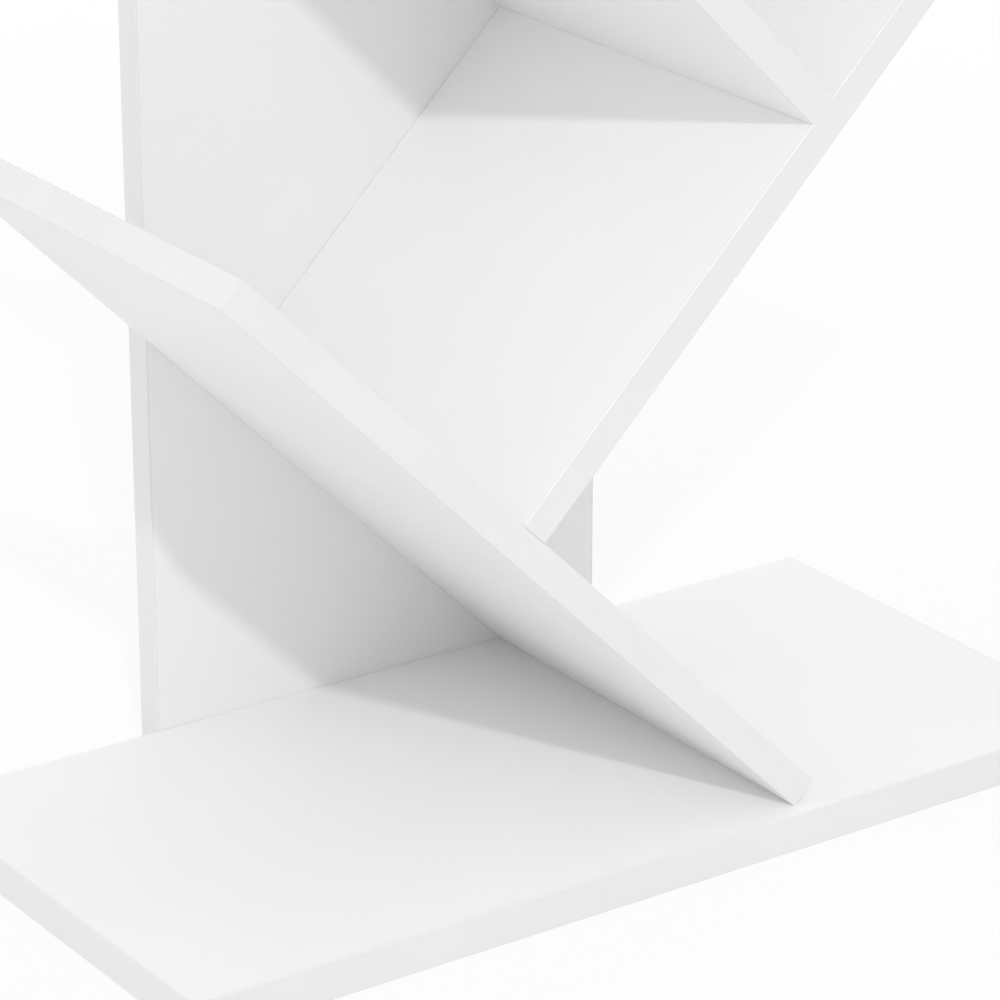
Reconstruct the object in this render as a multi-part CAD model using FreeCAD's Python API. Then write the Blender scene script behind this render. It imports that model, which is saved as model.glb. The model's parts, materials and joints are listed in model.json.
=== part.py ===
import FreeCAD, Part
import math
import os

# Tree shaped bookshelf, in millimetres. +Z is up and the front faces -Y.
# The origin is on the floor, at the middle of the shelf's width and of its overall depth.

# Base board
BASE_LENGTH = 500.0
BASE_DEPTH = 240.0
BASE_THICKNESS = 18.0

# Trunk board, which stands on the floor against the back edge of the base
TRUNK_WIDTH = 250.0
TRUNK_THICKNESS = 15.0
TRUNK_TOP_MARGIN = 20.0  # height left above the place where the top branch leaves the trunk's side

# Branch boards, which cross the trunk at 45 degrees to left and right in turn
BRANCH_COUNT = 8
BRANCH_LENGTH = 415.0
BRANCH_THICKNESS = 15.0
BRANCH_SETBACK = 8.0  # front edges of the branches behind the front edge of the base
BRANCH_STEP = 210.0  # from a branch's lower end to the underside of the branch that stands on it

# Edge bands, glued to the edges that show, and the softened corners of the boards
BAND_THICKNESS = 1.0
EDGE_CHAMFER = 0.4

# Flat-headed screws, driven through the trunk from behind
SCREW_LENGTH = 50.0
SCREW_DIAMETER = 5.0
SCREW_HEAD_DIAMETER = 12.0
SCREW_HEAD_HEIGHT = 2.0
SCREW_CLEARANCE = 0.1
SCREW_SIDE_INSET = 40.0  # screw of a branch, in from the side of the trunk
BASE_SCREW_SPACING = 160.0

# Wooden dowels
DOWEL_DIAMETER = 8.0
DOWEL_LENGTH = 30.0
DOWEL_FACE_DEPTH = 10.0  # length of a dowel in the face of the board that another board meets
DOWEL_CLEARANCE = 0.1
DOWEL_END_SPACE = 1.0
TRUNK_DOWEL_INSET = 60.0  # dowel from a branch into the trunk, along the branch from its foot
FOOT_DOWEL_INSET = 60.0  # dowel under a branch's foot, in from the branch's front edge

# Places that follow from the sizes above
DIAGONAL = math.sqrt(0.5)  # run and rise for each millimetre along a branch
OVERALL_DEPTH = BASE_DEPTH + TRUNK_THICKNESS + SCREW_HEAD_HEIGHT
BASE_FRONT_Y = -OVERALL_DEPTH / 2
TRUNK_FRONT_Y = BASE_FRONT_Y + BASE_DEPTH
TRUNK_BACK_Y = TRUNK_FRONT_Y + TRUNK_THICKNESS
BRANCH_DEPTH = BASE_DEPTH - BRANCH_SETBACK
BRANCH_FRONT_Y = BASE_FRONT_Y + BRANCH_SETBACK
BRANCH_RISE = (BRANCH_STEP + BRANCH_THICKNESS) * DIAGONAL
FOOT_OFFSET = (BRANCH_STEP - BRANCH_THICKNESS) * DIAGONAL / 2  # feet stand this far left or right
FIRST_FOOT_Z = BASE_THICKNESS - EDGE_CHAMFER * DIAGONAL  # its softened corner lies flat on the base

ORIGIN = FreeCAD.Vector(0, 0, 0)
X_AXIS = FreeCAD.Vector(1, 0, 0)
Y_AXIS = FreeCAD.Vector(0, 1, 0)
SPACE_DIAGONAL = FreeCAD.Vector(1, 1, 1)


def branch_side(index):
    """-1 for a branch that rises to the left, as the lowest one does, and 1 for one to the right."""
    return 1 if index % 2 else -1


def branch_point(index, along, above):
    """X and Z of a point, from its distance along a branch and above the branch's underside."""
    run = (along - above) * DIAGONAL - FOOT_OFFSET
    rise = (along + above) * DIAGONAL
    return branch_side(index) * run, FIRST_FOOT_Z + index * BRANCH_RISE + rise


def distance_along(side_distance, above):
    """Distance along a branch to the place that lies so far out from the middle of the trunk."""
    return (side_distance + FOOT_OFFSET) / DIAGONAL + above


def on_branch(shape, index):
    """Shape modelled on a branch that lies flat, foot at X = 0, moved to where that branch stands."""
    placed = shape.copy()
    placed.rotate(ORIGIN, Y_AXIS, -45)
    placed.translate(FreeCAD.Vector(-FOOT_OFFSET, 0, FIRST_FOOT_Z + index * BRANCH_RISE))
    if branch_side(index) < 0:
        placed = placed.mirror(ORIGIN, X_AXIS)
    return placed


def moved(shape, x, y, z):
    copy = shape.copy()
    copy.translate(FreeCAD.Vector(x, y, z))
    return copy


def at_places(piece, y, places):
    """Copies of a piece at the X and Z of each place."""
    return [moved(piece, x, y, z) for x, z in places]


def banded_board(length, depth, thickness, banded_edges):
    """Core and edge bands of a board that lies flat, with its lower front corner at the origin.

    A band that is named earlier runs past the ends of the bands named after it. The edges of both faces
    are softened all round, so that a fine groove shows where the board meets another.
    """
    side_room = Part.makeBox(length, BAND_THICKNESS, thickness)
    end_room = Part.makeBox(BAND_THICKNESS, depth, thickness)
    rooms = {
        "front": side_room,
        "back": moved(side_room, 0, depth - BAND_THICKNESS, 0),
        "start": end_room,
        "end": moved(end_room, length - BAND_THICKNESS, 0, 0),
    }
    core = Part.makeBox(length, depth, thickness)
    soft_edges = [edge for edge in core.Edges if edge.BoundBox.ZLength < thickness / 2]
    core = core.makeChamfer(EDGE_CHAMFER, soft_edges)
    bands = []
    for edge in banded_edges:
        bands.append(core.common(rooms[edge]))
        core = core.cut(rooms[edge])
    return [core] + bands


def drilled(solids, holes):
    return [solid.cut(holes).Solids[0] for solid in solids]


def screw():
    """Screw that points to the front, with the underside of its head at the origin."""
    head = Part.makeCylinder(SCREW_HEAD_DIAMETER / 2, SCREW_HEAD_HEIGHT, ORIGIN, Y_AXIS)
    shank = Part.makeCylinder(SCREW_DIAMETER / 2, SCREW_LENGTH, ORIGIN, -Y_AXIS)
    return head.fuse(shank)


def screw_hole():
    radius = SCREW_DIAMETER / 2 + SCREW_CLEARANCE
    return Part.makeCylinder(radius, SCREW_LENGTH + SCREW_CLEARANCE, ORIGIN, -Y_AXIS)


def dowel(axis):
    """Dowel along an axis, with the joint between the two boards at the origin."""
    return Part.makeCylinder(DOWEL_DIAMETER / 2, DOWEL_LENGTH, axis * -DOWEL_FACE_DEPTH, axis)


def dowel_hole(axis):
    start = axis * -(DOWEL_FACE_DEPTH + DOWEL_END_SPACE)
    length = DOWEL_LENGTH + 2 * DOWEL_END_SPACE
    return Part.makeCylinder(DOWEL_DIAMETER / 2 + DOWEL_CLEARANCE, length, start, axis)


def base_screw_places():
    half = BASE_SCREW_SPACING / 2
    return [(x, BASE_THICKNESS / 2) for x in (-half, half)]


def branch_screw_place(index):
    along = distance_along(TRUNK_WIDTH / 2 - SCREW_SIDE_INSET, BRANCH_THICKNESS / 2)
    return branch_point(index, along, BRANCH_THICKNESS / 2)


def trunk_dowel_place(index):
    return branch_point(index, TRUNK_DOWEL_INSET, BRANCH_THICKNESS / 2)


def under_foot(piece, index):
    """A piece that lies along X, at the dowel's place under the foot of a branch."""
    flat = moved(piece, 0, BRANCH_FRONT_Y + FOOT_DOWEL_INSET, BRANCH_THICKNESS / 2)
    return on_branch(flat, index)


def trunk_height():
    top_branch = BRANCH_COUNT - 1
    leaves_trunk = distance_along(TRUNK_WIDTH / 2, BRANCH_THICKNESS)
    return branch_point(top_branch, leaves_trunk, BRANCH_THICKNESS)[1] + TRUNK_TOP_MARGIN


def base_board(holes):
    flat = banded_board(BASE_LENGTH, BASE_DEPTH, BASE_THICKNESS, ["front", "start", "end"])
    return drilled([moved(solid, -BASE_LENGTH / 2, BASE_FRONT_Y, 0) for solid in flat], holes)


def trunk_board(holes):
    """The trunk's height lies along the flat board's X, and its two sides are the front and back."""
    standing = []
    for solid in banded_board(trunk_height(), TRUNK_WIDTH, TRUNK_THICKNESS, ["front", "back", "end"]):
        solid.rotate(ORIGIN, SPACE_DIAGONAL, -120)
        standing.append(moved(solid, -TRUNK_WIDTH / 2, TRUNK_FRONT_Y, 0))
    return drilled(standing, holes)


def branch_board(index, holes):
    """Only the lowest branch shows its lower end, so the others have no band there."""
    banded_edges = ["front", "end"] if index else ["front", "start", "end"]
    flat = banded_board(BRANCH_LENGTH, BRANCH_DEPTH, BRANCH_THICKNESS, banded_edges)
    return drilled([on_branch(moved(solid, 0, BRANCH_FRONT_Y, 0), index) for solid in flat], holes)


def save(node, solids):
    shape = solids[0] if len(solids) == 1 else Part.makeCompound(solids)
    shape.exportStep(os.path.join("parts", node + ".step"))


def save_board(node, solids):
    """The core of a board is one node, and the bands on its edges are another."""
    save(node, solids[:1])
    save(node + "_edging", solids[1:])


def main():
    os.makedirs("parts", exist_ok=True)
    branches = range(BRANCH_COUNT)
    standing_branches = branches[1:]  # each of these stands on the branch below it

    screw_places = base_screw_places() + [branch_screw_place(index) for index in branches]
    dowel_places = [trunk_dowel_place(index) for index in branches]
    back_holes = at_places(screw_hole(), TRUNK_BACK_Y, screw_places)
    back_holes += at_places(dowel_hole(-Y_AXIS), TRUNK_FRONT_Y, dowel_places)
    foot_holes = [under_foot(dowel_hole(X_AXIS), index) for index in standing_branches]

    save_board("base_board", base_board(back_holes))
    save_board("trunk_board", trunk_board(back_holes))
    for index in branches:
        save_board(f"branch_{index + 1}", branch_board(index, back_holes + foot_holes))

    save("trunk_screws", at_places(screw(), TRUNK_BACK_Y, screw_places))
    save("trunk_dowels", at_places(dowel(-Y_AXIS), TRUNK_FRONT_Y, dowel_places))
    save("foot_dowels", [under_foot(dowel(X_AXIS), index) for index in standing_branches])


main()
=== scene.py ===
import json
import math

import bmesh
import bpy
from mathutils import Matrix, Vector


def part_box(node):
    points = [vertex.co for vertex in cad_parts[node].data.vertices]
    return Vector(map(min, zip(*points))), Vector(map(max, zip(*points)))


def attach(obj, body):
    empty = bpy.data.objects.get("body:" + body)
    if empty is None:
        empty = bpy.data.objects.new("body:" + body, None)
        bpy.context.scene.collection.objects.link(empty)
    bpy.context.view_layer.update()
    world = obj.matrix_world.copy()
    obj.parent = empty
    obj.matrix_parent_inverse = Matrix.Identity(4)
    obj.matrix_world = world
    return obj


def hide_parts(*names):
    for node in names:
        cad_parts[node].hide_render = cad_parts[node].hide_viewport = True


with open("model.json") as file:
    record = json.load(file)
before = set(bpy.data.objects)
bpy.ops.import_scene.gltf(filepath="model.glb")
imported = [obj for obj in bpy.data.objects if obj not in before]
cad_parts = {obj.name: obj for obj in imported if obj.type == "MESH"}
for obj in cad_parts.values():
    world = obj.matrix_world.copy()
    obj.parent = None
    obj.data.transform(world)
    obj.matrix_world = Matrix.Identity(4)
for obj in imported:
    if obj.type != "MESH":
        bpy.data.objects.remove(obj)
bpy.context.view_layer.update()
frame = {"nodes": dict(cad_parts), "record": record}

# Tree shaped bookshelf, all in white. Lengths are in metres, angles in degrees.

MM = 0.001
X_AXIS = Vector((1, 0, 0))
Y_AXIS = Vector((0, 1, 0))
Z_AXIS = Vector((0, 0, 1))
WHITE = (1.0, 1.0, 1.0, 1.0)

# Camera, from the front left and a little above
CAMERA_PLACE = Vector((-1.0528, -1.5029, 0.8685))
CAMERA_TURN = 34.8  # to the right of straight ahead
CAMERA_DROP = 21.6  # below the horizon
CAMERA_LENS = 157.48  # millimetres, on a sensor 36 mm wide

# Light: one soft lamp from the upper left front, in a white room that is darkest in front of the shelf
KEY_TURN = 27.4  # to the right of straight ahead, the way the light travels
KEY_DROP = 40.0  # below the horizon
KEY_DISTANCE = 8.0  # from its target
KEY_SIZE = 0.22  # across
KEY_SPREAD = 50.0  # width of its beam, which fades evenly from its middle to its rim
KEY_POWER = 9.8  # watts
KEY_TARGET = Vector((0, 0, 0.15))
ROOM_SIDES = (  # the way to each side of the room, and the strength of the light from its middle
    (-X_AXIS, 0.98),
    (X_AXIS, 1.1),
    (-Y_AXIS, 0.64),
    (Y_AXIS, 0.85),
    (Z_AXIS, 0.89),
)

# Floor
FLOOR_HALF = 6.0  # from the middle of the shelf to each side of the floor
FLOOR_COLOUR = (0.9, 0.9, 0.9, 1.0)
FLOOR_GLOW = 0.8  # part of the floor's white, beside the shelf, that the shadow doesn't darken
FLOOR_FADE_START = 0.3  # from the middle of the shelf, where the glow starts to grow
FLOOR_FADE_END = 1.5  # where the glow is all that shows

# Finishes, whose patterns are made of noise
NOISE_LOW = 0.3  # most of a noise lies between these two
NOISE_HIGH = 0.7
CLOUD_DETAIL = 3.0  # ever finer layers in the noise of the colours
GRAIN_DETAIL = 2.0  # and in the noise of the roughness and the grain
LAMINATE_LIGHT = (0.92, 0.92, 0.92, 1.0)
LAMINATE_DEEP = (0.9, 0.9, 0.9, 1.0)
# Band whites set greyer than the laminate's: painted shade for the weaker light on the boards' edges, most
# of which face the front
SHADED_BAND_LIGHT = (0.84, 0.84, 0.84, 1.0)
SHADED_BAND_DEEP = (0.82, 0.82, 0.82, 1.0)
ZINC_LIGHT = (0.66, 0.67, 0.68, 1.0)
ZINC_DEEP = (0.5, 0.5, 0.49, 1.0)
BEECH_LIGHT = (0.62, 0.42, 0.25, 1.0)
BEECH_DEEP = (0.46, 0.28, 0.15, 1.0)

# Fasteners: what they have beyond the plain solids of the frame
POINTS_ROUND = 24  # a multiple of six, for the corners of the socket
ROUND_ANGLES = [2 * math.pi * step / POINTS_ROUND for step in range(POINTS_ROUND)]
FASTENER_REACH = 60 * MM  # longer than a fastener, and shorter than the way from one to the next
CREASE_ANGLE = 35.0  # an edge that turns by more than this is shaded as a sharp one
RIM_ROUNDING = 0.5 * MM  # of the head of a screw
RIM_STEPS = 3
SOCKET_WIDTH = 4.0 * MM  # across flats
SOCKET_DEPTH = 1.4 * MM
SOCKET_LEAD_IN = 0.3 * MM
PLAIN_SHANK = 16.0 * MM  # between the head and the thread
THREAD_PITCH = 2.2 * MM
THREAD_HEIGHT = 0.6 * MM
THREAD_PROFILE = ((0.0, 0.0), (0.3, 0.0), (0.6, 1.0), (0.7, 1.0))  # shares of the pitch and of the height
TIP_LENGTH = 4.0 * MM  # at the least, below the last turn of the thread
DOWEL_CHAMFER = 0.8 * MM
FLUTE_DEPTH = 0.3 * MM


# Shader nodes

def give(tree, socket, value):
    """Set an input to a value, or link it to the value if that is a socket."""
    if isinstance(value, bpy.types.NodeSocket):
        tree.links.new(value, socket)
    else:
        socket.default_value = value


def add(tree, kind, **settings):
    """New shader node. A setting that names an input is given to that input, any other to the node."""
    made = tree.nodes.new(kind)
    for name, value in settings.items():
        label = name.replace("_", " ").title()
        if label in made.inputs:
            give(tree, made.inputs[label], value)
        else:
            setattr(made, name, value)
    return made


def figure(tree, operation, *values, kind="ShaderNodeMath"):
    """Number that a math node works out from values that are numbers, vectors or sockets."""
    made = add(tree, kind, operation=operation)
    for socket, value in zip(made.inputs, values):
        give(tree, socket, value)
    return made.outputs["Value"]


def noise(tree, place, size, detail):
    """Grey noise with features of about the given size."""
    return add(tree, "ShaderNodeTexNoise", vector=place, scale=1 / size, detail=detail).outputs["Fac"]


def rescaled(tree, value, start, end, low, high):
    """Number that goes from low to high as a value goes from start to end."""
    limits = {"from_min": start, "from_max": end, "to_min": low, "to_max": high}
    return add(tree, "ShaderNodeMapRange", value=value, **limits).outputs["Result"]


def number_between(tree, grey, low, high):
    """Number that goes from low to high as a noise goes through its middle range."""
    return rescaled(tree, grey, NOISE_LOW, NOISE_HIGH, low, high)


def colour_between(tree, grey, low, high):
    """Colour that goes from low to high as a noise goes through its middle range."""
    ramp = add(tree, "ShaderNodeValToRGB", fac=grey)
    for stop, position, colour in zip(ramp.color_ramp.elements, (NOISE_LOW, NOISE_HIGH), (low, high)):
        stop.position = position
        stop.color = colour
    return ramp.outputs["Color"]


def mixed(tree, factor, first, second):
    """Shader that goes from the first to the second as a factor goes from 0 to 1."""
    mix = add(tree, "ShaderNodeMixShader", fac=factor)
    tree.links.new(first, mix.inputs[1])
    tree.links.new(second, mix.inputs[2])
    return mix.outputs["Shader"]


def seen_rays(tree):
    """1 for rays from the camera, in a reflection or through glass, and 0 for the light on surfaces."""
    rays = add(tree, "ShaderNodeLightPath").outputs
    mirrored = figure(tree, "MAXIMUM", rays["Is Glossy Ray"], rays["Is Transmission Ray"])
    return figure(tree, "MAXIMUM", rays["Is Camera Ray"], mirrored)


# Materials

def finish_material(
    name, colours, cloud_size, roughness, patch_size, grain_depth, grain_size, gloss=0.5, metallic=0.0
):
    """Material of three noises: clouds of two colours, patches of two roughnesses, and a raised grain."""
    material = bpy.data.materials.new(name)
    material.use_nodes = True
    tree = material.node_tree
    place = add(tree, "ShaderNodeTexCoord").outputs["Object"]
    clouds = noise(tree, place, cloud_size, CLOUD_DETAIL)
    patches = noise(tree, place, patch_size, GRAIN_DETAIL)
    grain = noise(tree, place, grain_size, GRAIN_DETAIL)
    relief = add(tree, "ShaderNodeBump", height=grain, distance=grain_depth)
    shader = tree.nodes["Principled BSDF"].inputs
    give(tree, shader["Base Color"], colour_between(tree, clouds, *colours))
    give(tree, shader["Roughness"], number_between(tree, patches, *roughness))
    give(tree, shader["Normal"], relief.outputs["Normal"])
    shader["Specular IOR Level"].default_value = gloss
    shader["Metallic"].default_value = metallic
    return material


def laminate():
    """Satin white melamine with the fine pearl grain of its press plate."""
    return finish_material(
        "white_laminate",
        colours=(LAMINATE_DEEP, LAMINATE_LIGHT),
        cloud_size=120 * MM,
        roughness=(0.42, 0.5),
        patch_size=20 * MM,
        grain_depth=0.02 * MM,
        grain_size=1.2 * MM,
        gloss=0.4,
    )


def edge_band():
    """White plastic band, smoother than the faces of the boards, whose greyer white is painted shade for
    the weaker light on its edges.
    """
    return finish_material(
        "edge_band",
        colours=(SHADED_BAND_DEEP, SHADED_BAND_LIGHT),
        cloud_size=50 * MM,
        roughness=(0.34, 0.42),
        patch_size=10 * MM,
        grain_depth=0.005 * MM,
        grain_size=0.6 * MM,
        gloss=0.45,
    )


def zinc():
    """Zinc plated steel with the cloudy tone of the plating."""
    return finish_material(
        "zinc_steel",
        colours=(ZINC_DEEP, ZINC_LIGHT),
        cloud_size=3 * MM,
        roughness=(0.25, 0.4),
        patch_size=0.8 * MM,
        grain_depth=0.01 * MM,
        grain_size=0.3 * MM,
        metallic=1.0,
    )


def beech():
    """Plain beech with small dark flecks."""
    return finish_material(
        "beech",
        colours=(BEECH_DEEP, BEECH_LIGHT),
        cloud_size=2 * MM,
        roughness=(0.55, 0.7),
        patch_size=1 * MM,
        grain_depth=0.03 * MM,
        grain_size=0.4 * MM,
    )


# Objects of the scene

def paint(piece, material):
    """Give a piece one material, in place of those that it has."""
    piece.data.materials.clear()
    piece.data.materials.append(material)


def link(name, data):
    """New object in the scene, from a mesh, a light or a camera."""
    made = bpy.data.objects.new(name, data)
    bpy.context.scene.collection.objects.link(made)
    return made


# Fasteners, each modelled along its own Z axis and then placed

def solids_of(node):
    """Points of each separate fastener of a node."""
    groups = []
    for vertex in frame["nodes"][node].data.vertices:
        near = [group for group in groups if (group[0] - vertex.co).length < FASTENER_REACH]
        if near:
            near[0].append(vertex.co)
        else:
            groups.append([vertex.co])
    return groups


def reach(points, axis):
    """Lowest and highest place of points along an axis."""
    places = [point.dot(axis) for point in points]
    return min(places), max(places)


def placed_along(axis, middle):
    """Place of a fastener whose own Z axis is to lie along an axis, with its origin at a middle."""
    return Matrix.Translation(middle) @ Z_AXIS.rotation_difference(axis).to_matrix().to_4x4()


def ring(radii, height):
    """Points all round at one height, each with its own radius."""
    return [Vector((r * math.cos(a), r * math.sin(a), height)) for r, a in zip(radii, ROUND_ANGLES)]


def circle(radius, height):
    return ring([radius] * POINTS_ROUND, height)


def hexagon(width, height):
    """Ring on a hexagon with the given width across its flats."""
    sixth = 2 * math.pi / 6
    return ring([width / 2 / math.cos(angle % sixth - sixth / 2) for angle in ROUND_ANGLES], height)


def fluted(radius, height):
    """Ring whose every second point lies at the bottom of a flute."""
    return ring([radius - FLUTE_DEPTH * (step % 2) for step in range(POINTS_ROUND)], height)


def rounded_rim(radius, top):
    """Rings over the rounded rim of a screw's head, from its side to its top."""
    rings = []
    for step in range(RIM_STEPS + 1):
        turn = math.pi / 2 * step / RIM_STEPS
        inward = RIM_ROUNDING * (1 - math.cos(turn))
        downward = RIM_ROUNDING * (1 - math.sin(turn))
        rings.append(circle(radius - inward, top - downward))
    return rings


def hexagon_socket(top):
    """Rings from the edge of a socket, past its lead-in, to its bottom."""
    return [
        hexagon(SOCKET_WIDTH + 2 * SOCKET_LEAD_IN, top),
        hexagon(SOCKET_WIDTH, top - SOCKET_LEAD_IN),
        hexagon(SOCKET_WIDTH, top - SOCKET_DEPTH),
    ]


def skin(mesh, place, rings):
    """Closed surface through rings with as many points each."""
    loops = [[mesh.verts.new(place @ point) for point in points] for points in rings]
    for loop, following in zip(loops, loops[1:]):
        for corner in range(POINTS_ROUND):
            mesh.faces.new((loop[corner - 1], loop[corner], following[corner], following[corner - 1]))
    mesh.faces.new(loops[0])
    mesh.faces.new(loops[-1])


def thread(mesh, place, crest, start, tip):
    """Closed screw thread that runs down from a start to a tip.

    A column of points holds the corners of the profile, and the columns follow each other round the screw.
    The last corner of a column is joined to the first one of the column a turn further on.
    """
    turns = int((start - tip - TIP_LENGTH) / THREAD_PITCH)
    last = (turns - 1) * POINTS_ROUND
    corners = len(THREAD_PROFILE)
    points = {}

    # Points, from the tip upwards, so that the column a turn further on is there before it is needed
    for column in range(last + POINTS_ROUND, -1, -1):
        angle = ROUND_ANGLES[column % POINTS_ROUND]
        for corner, (drop, raised) in enumerate(THREAD_PROFILE):
            if corner == 0 or column <= last:
                radius = crest - THREAD_HEIGHT * (1 - raised)
                height = start - (column / POINTS_ROUND + drop) * THREAD_PITCH
                point = Vector((radius * math.cos(angle), radius * math.sin(angle), height))
                points[column, corner] = mesh.verts.new(place @ point)
        points[column, corners] = points.get((column + POINTS_ROUND, 0))

    # Faces from each column to the next
    for column in range(last):
        for corner in range(corners):
            here = points[column, corner], points[column, corner + 1]
            beside = points[column + 1, corner + 1], points[column + 1, corner]
            mesh.faces.new(here + beside)

    # Both ends: a shallow cone at the start, and the point of the screw at the tip
    for column, height in ((0, start), (last, tip)):
        rim = [points[column + step, 0] for step in range(POINTS_ROUND + 1)]
        rim += [points[column, corner] for corner in range(corners - 1, 0, -1)]
        middle = mesh.verts.new(place @ Vector((0, 0, height)))
        for corner in range(len(rim)):
            mesh.faces.new((middle, rim[corner - 1], rim[corner]))


def screw(mesh, points):
    """Flat-headed screw with a hexagon socket, in place of one of the frame's plain screws."""
    head_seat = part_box("trunk_board")[1].y
    front, back = reach(points, Y_AXIS)
    left, right = reach(points, X_AXIS)
    low, high = reach(points, Z_AXIS)
    front_end = [point for point in points if point.y < head_seat - PLAIN_SHANK]
    shank_left, shank_right = reach(front_end, X_AXIS)
    place = placed_along(Y_AXIS, Vector(((left + right) / 2, head_seat, (low + high) / 2)))
    head = (right - left) / 2
    shank = (shank_right - shank_left) / 2
    top = back - head_seat
    rings = [circle(shank, -PLAIN_SHANK), circle(shank, 0), circle(head, 0)]
    skin(mesh, place, rings + rounded_rim(head, top) + hexagon_socket(top))
    thread_start = THREAD_PITCH - PLAIN_SHANK  # its first turn rises out of the plain shank
    thread(mesh, place, shank, thread_start, front - head_seat)


def dowel(mesh, points):
    """Fluted dowel with tapered ends, in place of one of the frame's plain dowels.

    It lies along the shelf's depth, or along a branch that rises to one side or the other.
    """
    middle = sum(points, Vector()) / len(points)
    axes = (Y_AXIS, (X_AXIS + Z_AXIS).normalized(), (X_AXIS - Z_AXIS).normalized())
    spans = [reach(points, axis) for axis in axes]
    lengths = [high - low for low, high in spans]
    place = placed_along(axes[lengths.index(max(lengths))], middle)
    half = max(lengths) / 2
    straight = half - DOWEL_CHAMFER
    radius = min(lengths) / 2
    end_radius = radius - DOWEL_CHAMFER
    rings = [circle(end_radius, -half), fluted(radius, -straight)]
    rings += [fluted(radius, straight), circle(end_radius, half)]
    skin(mesh, place, rings)


def fasteners(name, node, make):
    """One piece with a detailed fastener in place of each plain one of a node."""
    mesh = bmesh.new()
    for points in solids_of(node):
        make(mesh, points)
    bmesh.ops.recalc_face_normals(mesh, faces=mesh.faces)
    for face in mesh.faces:
        face.smooth = True
    data = bpy.data.meshes.new(name)
    mesh.to_mesh(data)
    mesh.free()
    data.set_sharp_from_angle(angle=math.radians(CREASE_ANGLE))
    piece = link(name, data)
    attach(piece, "root")
    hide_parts(node)
    return piece


DETAILED_FASTENERS = (
    ("threaded_screws", "trunk_screws", screw),
    ("fluted_trunk_dowels", "trunk_dowels", dowel),
    ("fluted_foot_dowels", "foot_dowels", dowel),
)


# Room, floor, lamp and camera

def room_light(tree):
    """Strength of the light from each direction: each side of the room fades evenly into the next."""
    direction = add(tree, "ShaderNodeTexCoord").outputs["Generated"]
    total = 0.0
    for side, strength in ROOM_SIDES:
        facing = figure(tree, "DOT_PRODUCT", direction, side, kind="ShaderNodeVectorMath")
        towards = figure(tree, "MAXIMUM", facing, 0.0)
        share = figure(tree, "MULTIPLY", towards, towards)
        total = figure(tree, "MULTIPLY_ADD", share, strength, total)
    return total


def white_room():
    """Soft light from all round. The room itself is seen as pure white."""
    world = bpy.data.worlds.new("white_room")
    world.use_nodes = True
    tree = world.node_tree
    tree.nodes.clear()
    light = add(tree, "ShaderNodeBackground", color=WHITE, strength=room_light(tree))
    white = add(tree, "ShaderNodeBackground", color=WHITE, strength=1.0)
    surface = mixed(tree, seen_rays(tree), light.outputs["Background"], white.outputs["Background"])
    add(tree, "ShaderNodeOutputWorld", surface=surface)
    bpy.context.scene.world = world


def floor_material():
    """Matt white with the shelf's shadow on it, and a glow that makes it one with the room further out."""
    material = bpy.data.materials.new("floor_white")
    material.use_nodes = True
    tree = material.node_tree
    tree.nodes.clear()
    matt = add(tree, "ShaderNodeBsdfDiffuse", color=FLOOR_COLOUR)
    glow = add(tree, "ShaderNodeEmission", color=WHITE, strength=1.0)
    place = add(tree, "ShaderNodeTexCoord").outputs["Object"]
    distance = figure(tree, "LENGTH", place, kind="ShaderNodeVectorMath")
    fade = rescaled(tree, distance, FLOOR_FADE_START, FLOOR_FADE_END, FLOOR_GLOW, 1.0)
    share = figure(tree, "MULTIPLY", seen_rays(tree), fade)
    surface = mixed(tree, share, matt.outputs["BSDF"], glow.outputs["Emission"])
    add(tree, "ShaderNodeOutputMaterial", surface=surface)
    return material


def floor():
    corners = [(x * FLOOR_HALF, y * FLOOR_HALF, 0) for x, y in ((-1, -1), (1, -1), (1, 1), (-1, 1))]
    mesh = bpy.data.meshes.new("floor")
    mesh.from_pydata(corners, [], [(0, 1, 2, 3)])
    mesh.materials.append(floor_material())
    link("floor", mesh)


def aimed(turn, drop):
    """Rotation of a lamp or camera, which looks straight down until it is tipped up and turned right."""
    tipped = Matrix.Rotation(math.radians(90 - drop), 4, "X")
    turned = Matrix.Rotation(math.radians(-turn), 4, "Z")
    return turned @ tipped


def key_lamp():
    lamp = bpy.data.lights.new("key", "AREA")
    lamp.shape = "DISK"
    lamp.size = KEY_SIZE
    lamp.spread = math.radians(KEY_SPREAD)
    lamp.energy = KEY_POWER
    drawn_back = Matrix.Translation(Z_AXIS * KEY_DISTANCE)
    made = link("key", lamp)
    made.matrix_world = Matrix.Translation(KEY_TARGET) @ aimed(KEY_TURN, KEY_DROP) @ drawn_back


def camera():
    lens = bpy.data.cameras.new("camera")
    lens.lens = CAMERA_LENS
    made = link("camera", lens)
    made.matrix_world = Matrix.Translation(CAMERA_PLACE) @ aimed(CAMERA_TURN, CAMERA_DROP)
    bpy.context.scene.camera = made


def main():
    bpy.context.scene.view_settings.view_transform = "Standard"
    finishes = {
        "white_laminate": laminate(),
        "edge_band": edge_band(),
        "zinc_steel": zinc(),
        "beech": beech(),
    }
    slots = {piece["node"]: piece["material_slot"] for piece in frame["record"]["subparts"]}
    for node, slot in slots.items():
        paint(frame["nodes"][node], finishes[slot])
    for name, node, make in DETAILED_FASTENERS:
        piece = fasteners(name, node, make)
        paint(piece, finishes[slots[node]])
    white_room()
    floor()
    key_lamp()
    camera()


main()
